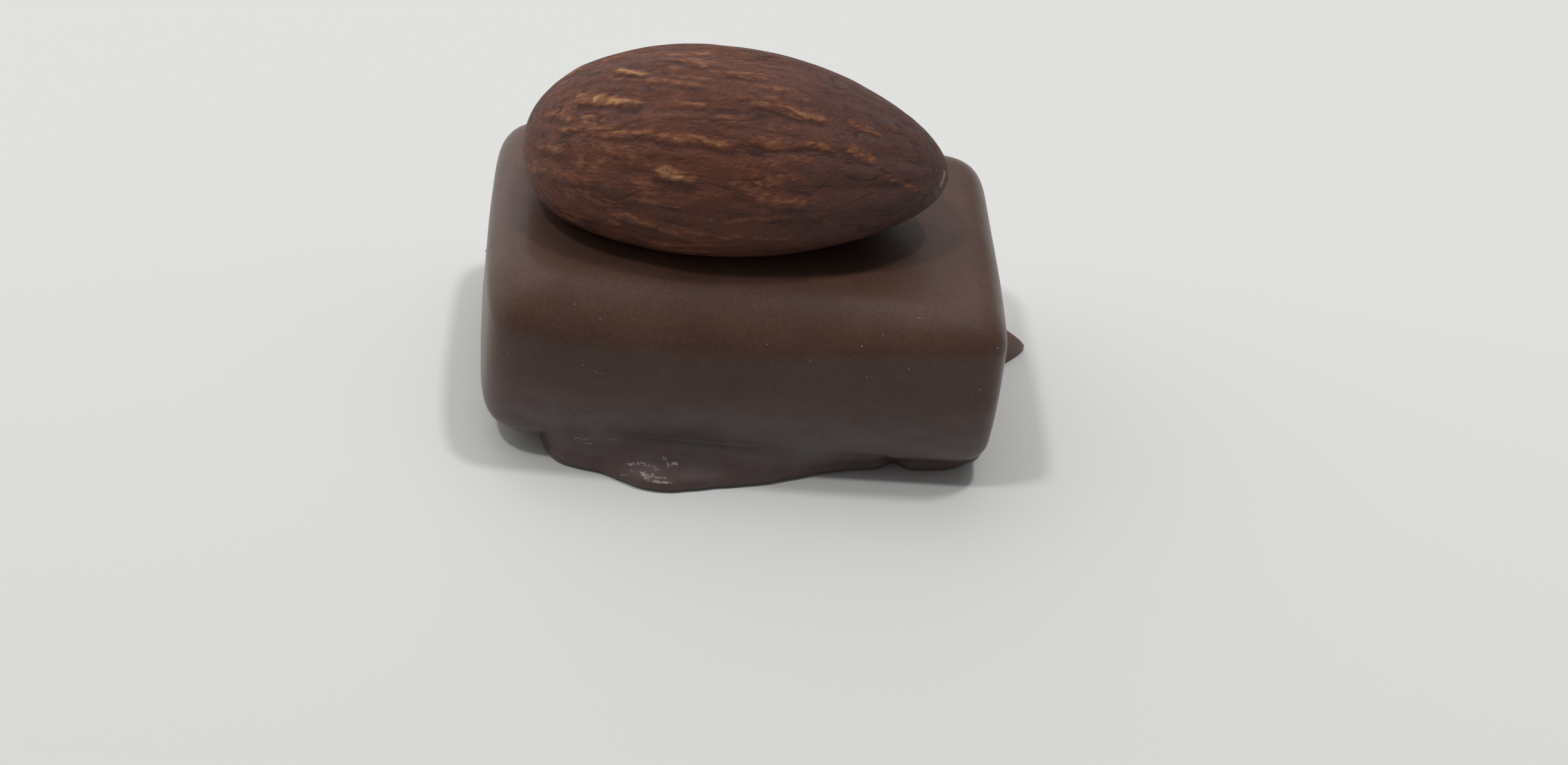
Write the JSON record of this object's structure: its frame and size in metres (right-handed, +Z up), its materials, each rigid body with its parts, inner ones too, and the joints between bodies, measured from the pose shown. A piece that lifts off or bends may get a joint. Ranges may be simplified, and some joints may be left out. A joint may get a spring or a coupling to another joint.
{
  "type": "chocolate praline",
  "caption": "Rectangular milk chocolate praline with soft rounded edges and a thin run-out foot, topped with a whole almond lying along its length.",
  "frame": {"origin": "on the ground under the middle of the chocolate block", "axes": "+X along the block towards the almond's tip and the spur, -Y the front with the run-out foot, +Z up"},
  "size_m": [0.032, 0.0207, 0.019],
  "materials": {
    "milk_chocolate": "satin, soft sheen of set milk chocolate",
    "almond_skin": "dry matt seed skin with lengthwise ridges"
  },
  "bodies": {
    "root": {"chocolate": "milk_chocolate", "almond": "almond_skin"}
  },
  "joints": []
}
